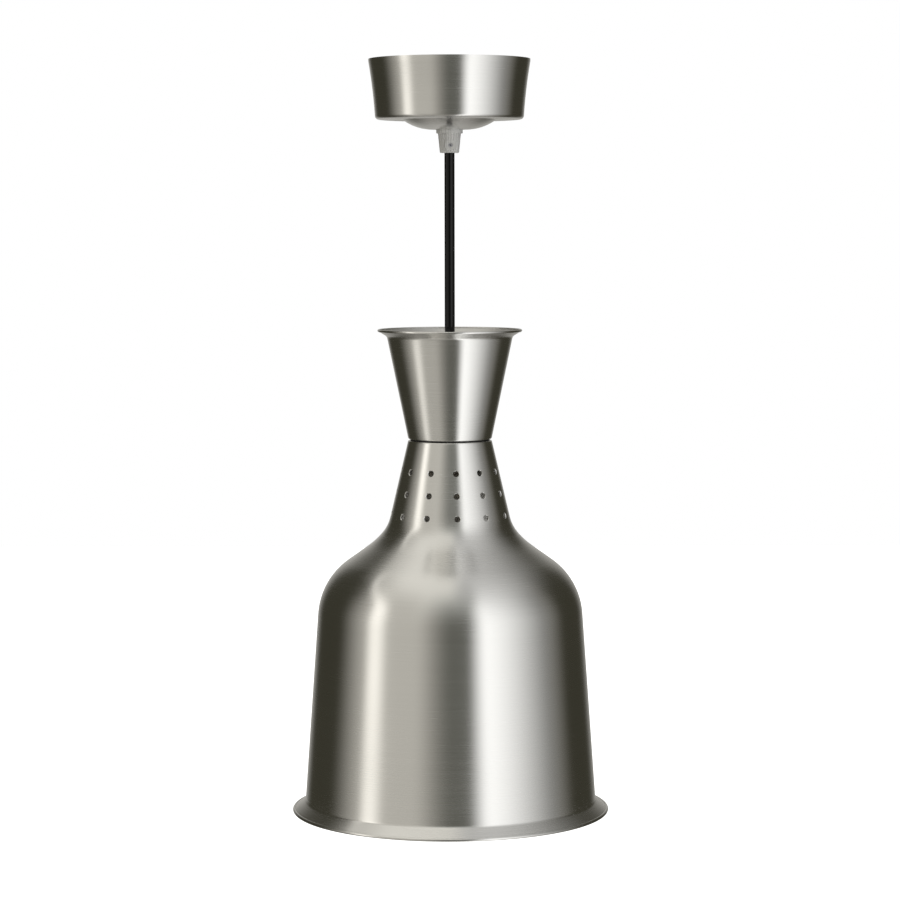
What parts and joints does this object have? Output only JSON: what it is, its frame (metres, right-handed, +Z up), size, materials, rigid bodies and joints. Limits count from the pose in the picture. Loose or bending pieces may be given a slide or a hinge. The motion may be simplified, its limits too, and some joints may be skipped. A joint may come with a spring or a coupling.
{
  "type": "pendant heat lamp",
  "caption": "Pendant heat lamp: ceiling canopy, straight black textile cord, flared open cone and a long spun metal shade with a vented neck and a flared lip, over a screw-in reflector bulb.",
  "frame": {"origin": "centre of the ceiling strap's two slots, on the ceiling plane, on the cord's axis", "axes": "+Z up out of the ceiling face; the cord hangs down -Z; the ceiling screws lie along X; the cord grips' screws face the front, -Y"},
  "size_m": [0.2298, 0.2298, 0.5432],
  "materials": {
    "satin_aluminium": "spun sheet with a fine circumferential brushed grain",
    "zinc_steel": "bright zinc plate",
    "tinned_copper": "tinned",
    "block_plastic": "natural polyamide",
    "brass": "turned and stamped brass",
    "live_insulation": "brown core insulation",
    "neutral_insulation": "blue core insulation",
    "earth_insulation": "green and yellow core insulation",
    "black_textile": "black braided textile sheath",
    "clear_grip_plastic": "smoky translucent moulding",
    "black_rubber": "matt black",
    "white_ceramic": "white glaze",
    "plated_shell": "nickel plate",
    "bulb_glass": "clear hard glass",
    "black_glass": "black insulating glass",
    "solder": "dull solder",
    "tungsten": "drawn wire"
  },
  "bodies": {
    "ceiling_mount": {"canopy": "satin_aluminium", "ceiling_strap": "zinc_steel", "mount_tube": "zinc_steel", "mount_tube_nuts": "zinc_steel", "terminal_block": "block_plastic", "terminal_inserts": "brass", "terminal_clamp_screws": "zinc_steel", "terminal_block_screw": "zinc_steel", "ceiling_earth_ring": "tinned_copper", "ceiling_earth_screw": "zinc_steel", "ceiling_live_wire": "live_insulation", "ceiling_neutral_wire": "neutral_insulation", "ceiling_earth_wire": "earth_insulation", "cord_ceiling_end": "black_textile", "ceiling_cord_grip": "clear_grip_plastic", "ceiling_grip_screw": "zinc_steel"},
    "cord": {"cord": "black_textile"},
    "lamp_head": {"head_cord_grip": "clear_grip_plastic", "head_grip_screw": "zinc_steel", "cord_head_end": "black_textile", "upper_cone": "satin_aluminium", "neck_spacer": "black_rubber", "shade": "satin_aluminium", "head_tube": "zinc_steel", "head_tube_nut": "zinc_steel", "stirrup_washer": "zinc_steel", "holder_stirrup": "zinc_steel", "holder_screws": "zinc_steel", "lampholder_body": "white_ceramic", "screw_shell": "plated_shell", "centre_contact": "brass", "contact_rivet": "brass", "holder_terminals": "brass", "holder_terminal_screws": "zinc_steel", "head_live_wire": "live_insulation", "head_neutral_wire": "neutral_insulation", "head_earth_wire": "earth_insulation", "head_earth_ring": "tinned_copper", "head_earth_screw": "zinc_steel"},
    "bulb_carrier": {"bulb_contact": "solder"},
    "bulb": {"bulb_glass": "bulb_glass", "bulb_cap": "plated_shell", "bulb_insulator": "black_glass", "bulb_stem": "bulb_glass", "filament": "tungsten", "filament_leads": "tungsten", "filament_supports": "tungsten"}
  },
  "joints": [
    {"name": "cord_swing", "type": "hinge", "parent": "ceiling_mount", "child": "cord", "pos_m": [0, 0, -0.07085], "axis": [0, 1, 0], "range_deg": [-45, 45]},
    {"name": "head_tilt", "type": "hinge", "parent": "cord", "child": "lamp_head", "pos_m": [0, 0, -0.25065], "axis": [1, 0, 0], "range_deg": [-20, 20]},
    {"name": "bulb_travel", "type": "slide", "parent": "lamp_head", "child": "bulb_carrier", "axis": [0, 0, -1], "range_m": [0, 0.0218]},
    {"name": "bulb_turn", "type": "hinge", "parent": "bulb_carrier", "child": "bulb", "pos_m": [0, 0, -0.33], "axis": [0, 0, -1], "range_deg": [0, 2160]}
  ],
  "couplings": [
    {"joint": "bulb_travel", "follows": "bulb_turn", "m_per_rad": 0.00057751}
  ]
}
